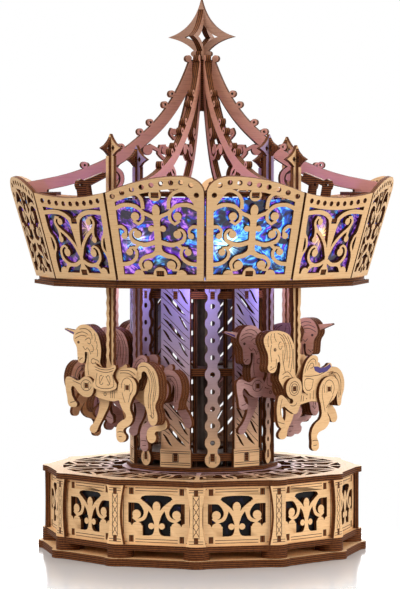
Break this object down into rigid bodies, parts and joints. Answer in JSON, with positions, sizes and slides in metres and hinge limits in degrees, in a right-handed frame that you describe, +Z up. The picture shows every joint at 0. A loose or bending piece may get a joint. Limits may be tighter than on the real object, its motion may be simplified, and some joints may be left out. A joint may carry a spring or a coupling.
{
  "type": "carousel music box",
  "caption": "Wooden carousel music box: fretwork base and canopy, turning drum, rising horses on crank-driven poles, lit panels and an open roof with a star.",
  "frame": {"origin": "in the plane that the object stands on, under the axis of the carousel", "axes": "+Z up along the mast, -Y towards the front, +X to the right as seen from the front"},
  "size_m": [0.203, 0.203, 0.2909],
  "materials": {
    "ply": "bare laser-cut plywood, matt",
    "horse_ply": "bare pale laser-cut plywood, matt",
    "dark_ply": "brown plywood with burnt edges, matt",
    "brass": "satin",
    "steel": "brushed",
    "film": "clear coloured film, glossy",
    "light_strip": "white strip with clear domes",
    "white_plastic": "matt",
    "dark_plastic": "matt"
  },
  "bodies": {
    "base": {"foot_plates": "ply", "plinth_spacers": "dark_ply", "base_floor": "ply", "base_panels": "ply", "base_ribs": "dark_ply", "base_pilasters": "ply", "deck_plate": "ply", "centre_mast": "steel", "mast_foot": "dark_ply", "crown_gear": "ply", "movement_bedplate": "brass", "movement_comb": "steel", "movement_brackets": "brass", "movement_screws": "steel"},
    "carousel": {"drive_gear": "dark_ply", "drum_bush": "dark_ply", "drum_frame": "dark_ply", "chain_columns": "ply", "twist_columns": "ply", "canopy_rim": "dark_ply", "canopy_floor": "ply", "crest_panels": "ply", "low_panels": "ply", "colour_films": "film", "crest_shelves": "dark_ply", "axle_shelves": "dark_ply", "crank_bearings": "dark_ply", "roof_ribs": "ply", "roof_hub": "dark_ply", "roof_star": "ply", "panel_blocks": "dark_ply", "light_ring": "light_strip", "battery_box": "white_plastic"},
    "barrel": {"spring_barrel": "brass", "drive_pinion": "dark_ply"},
    "music_cylinder": {"music_cylinder": "brass"},
    "governor_fly": {"governor_fly": "steel"},
    "winding_key": {"winding_key": "brass"},
    "light_switch": {"light_switch": "dark_plastic"},
    "crank_1": {"crankshaft_1": "steel"},
    "crank_2": {"crankshaft_2": "steel"},
    "crank_3": {"crankshaft_3": "steel"},
    "crank_4": {"crankshaft_4": "steel"},
    "outer_rider_1": {"outer_pole_1": "ply", "outer_horse_1": "horse_ply"},
    "outer_rider_2": {"outer_pole_2": "ply", "outer_horse_2": "horse_ply"},
    "outer_rider_3": {"outer_pole_3": "ply", "outer_horse_3": "horse_ply"},
    "outer_rider_4": {"outer_pole_4": "ply", "outer_horse_4": "horse_ply"},
    "inner_rider_1": {"inner_pole_1": "ply", "inner_horse_1": "horse_ply"},
    "inner_rider_2": {"inner_pole_2": "ply", "inner_horse_2": "horse_ply"},
    "inner_rider_3": {"inner_pole_3": "ply", "inner_horse_3": "horse_ply"},
    "inner_rider_4": {"inner_pole_4": "ply", "inner_horse_4": "horse_ply"}
  },
  "joints": [
    {"name": "carousel_spin", "type": "hinge", "parent": "base", "child": "carousel", "pos_m": [0, 0, 0.1], "axis": [0, 0, 1], "continuous": true},
    {"name": "barrel_spin", "type": "hinge", "parent": "base", "child": "barrel", "pos_m": [0, 0.04, 0.02], "axis": [0, 0, 1], "continuous": true},
    {"name": "cylinder_spin", "type": "hinge", "parent": "base", "child": "music_cylinder", "pos_m": [0.02, 0.04, 0.02949], "axis": [1, 0, 0], "continuous": true},
    {"name": "governor_spin", "type": "hinge", "parent": "base", "child": "governor_fly", "pos_m": [0.04, 0.032, 0.02949], "axis": [1, 0, 0], "continuous": true},
    {"name": "key_turn", "type": "hinge", "parent": "base", "child": "winding_key", "pos_m": [0, 0.04, 0.004], "axis": [0, 0, 1], "continuous": true},
    {"name": "light_switch_slide", "type": "slide", "parent": "carousel", "child": "light_switch", "axis": [-0.9986, -0.0523, 0], "range_m": [0, 0.003]},
    {"name": "crank_1_spin", "type": "hinge", "parent": "carousel", "child": "crank_1", "pos_m": [0.03716, -0.03346, 0.168], "axis": [0.7431, -0.6691, 0], "continuous": true},
    {"name": "outer_rider_1_pin", "type": "hinge", "parent": "crank_1", "child": "outer_rider_1", "pos_m": [0.04979, -0.04483, 0.1651], "axis": [0.7431, -0.6691, 0], "continuous": true},
    {"name": "inner_rider_1_pin", "type": "hinge", "parent": "crank_1", "child": "inner_rider_1", "pos_m": [0.03567, -0.03212, 0.1709], "axis": [0.7431, -0.6691, 0], "continuous": true},
    {"name": "crank_2_spin", "type": "hinge", "parent": "carousel", "child": "crank_2", "pos_m": [0.03346, 0.03716, 0.168], "axis": [0.6691, 0.7431, 0], "continuous": true},
    {"name": "outer_rider_2_pin", "type": "hinge", "parent": "crank_2", "child": "outer_rider_2", "pos_m": [0.04483, 0.04979, 0.1709], "axis": [0.6691, 0.7431, 0], "continuous": true},
    {"name": "inner_rider_2_pin", "type": "hinge", "parent": "crank_2", "child": "inner_rider_2", "pos_m": [0.03212, 0.03567, 0.1651], "axis": [0.6691, 0.7431, 0], "continuous": true},
    {"name": "crank_3_spin", "type": "hinge", "parent": "carousel", "child": "crank_3", "pos_m": [-0.03716, 0.03346, 0.168], "axis": [-0.7431, 0.6691, 0], "continuous": true},
    {"name": "outer_rider_3_pin", "type": "hinge", "parent": "crank_3", "child": "outer_rider_3", "pos_m": [-0.04979, 0.04483, 0.1651], "axis": [-0.7431, 0.6691, 0], "continuous": true},
    {"name": "inner_rider_3_pin", "type": "hinge", "parent": "crank_3", "child": "inner_rider_3", "pos_m": [-0.03567, 0.03212, 0.1709], "axis": [-0.7431, 0.6691, 0], "continuous": true},
    {"name": "crank_4_spin", "type": "hinge", "parent": "carousel", "child": "crank_4", "pos_m": [-0.03346, -0.03716, 0.168], "axis": [-0.6691, -0.7431, 0], "continuous": true},
    {"name": "outer_rider_4_pin", "type": "hinge", "parent": "crank_4", "child": "outer_rider_4", "pos_m": [-0.04483, -0.04979, 0.1709], "axis": [-0.6691, -0.7431, 0], "continuous": true},
    {"name": "inner_rider_4_pin", "type": "hinge", "parent": "crank_4", "child": "inner_rider_4", "pos_m": [-0.03212, -0.03567, 0.1651], "axis": [-0.6691, -0.7431, 0], "continuous": true}
  ],
  "couplings": [
    {"joint": "barrel_spin", "follows": "carousel_spin", "ratio": -3},
    {"joint": "cylinder_spin", "follows": "carousel_spin", "ratio": -13.5},
    {"joint": "governor_spin", "follows": "carousel_spin", "ratio": 40.5},
    {"joint": "crank_1_spin", "follows": "carousel_spin", "ratio": -4},
    {"joint": "outer_rider_1_pin", "follows": "carousel_spin", "ratio": 4},
    {"joint": "inner_rider_1_pin", "follows": "carousel_spin", "ratio": 4},
    {"joint": "crank_2_spin", "follows": "carousel_spin", "ratio": -4},
    {"joint": "outer_rider_2_pin", "follows": "carousel_spin", "ratio": 4},
    {"joint": "inner_rider_2_pin", "follows": "carousel_spin", "ratio": 4},
    {"joint": "crank_3_spin", "follows": "carousel_spin", "ratio": -4},
    {"joint": "outer_rider_3_pin", "follows": "carousel_spin", "ratio": 4},
    {"joint": "inner_rider_3_pin", "follows": "carousel_spin", "ratio": 4},
    {"joint": "crank_4_spin", "follows": "carousel_spin", "ratio": -4},
    {"joint": "outer_rider_4_pin", "follows": "carousel_spin", "ratio": 4},
    {"joint": "inner_rider_4_pin", "follows": "carousel_spin", "ratio": 4}
  ]
}
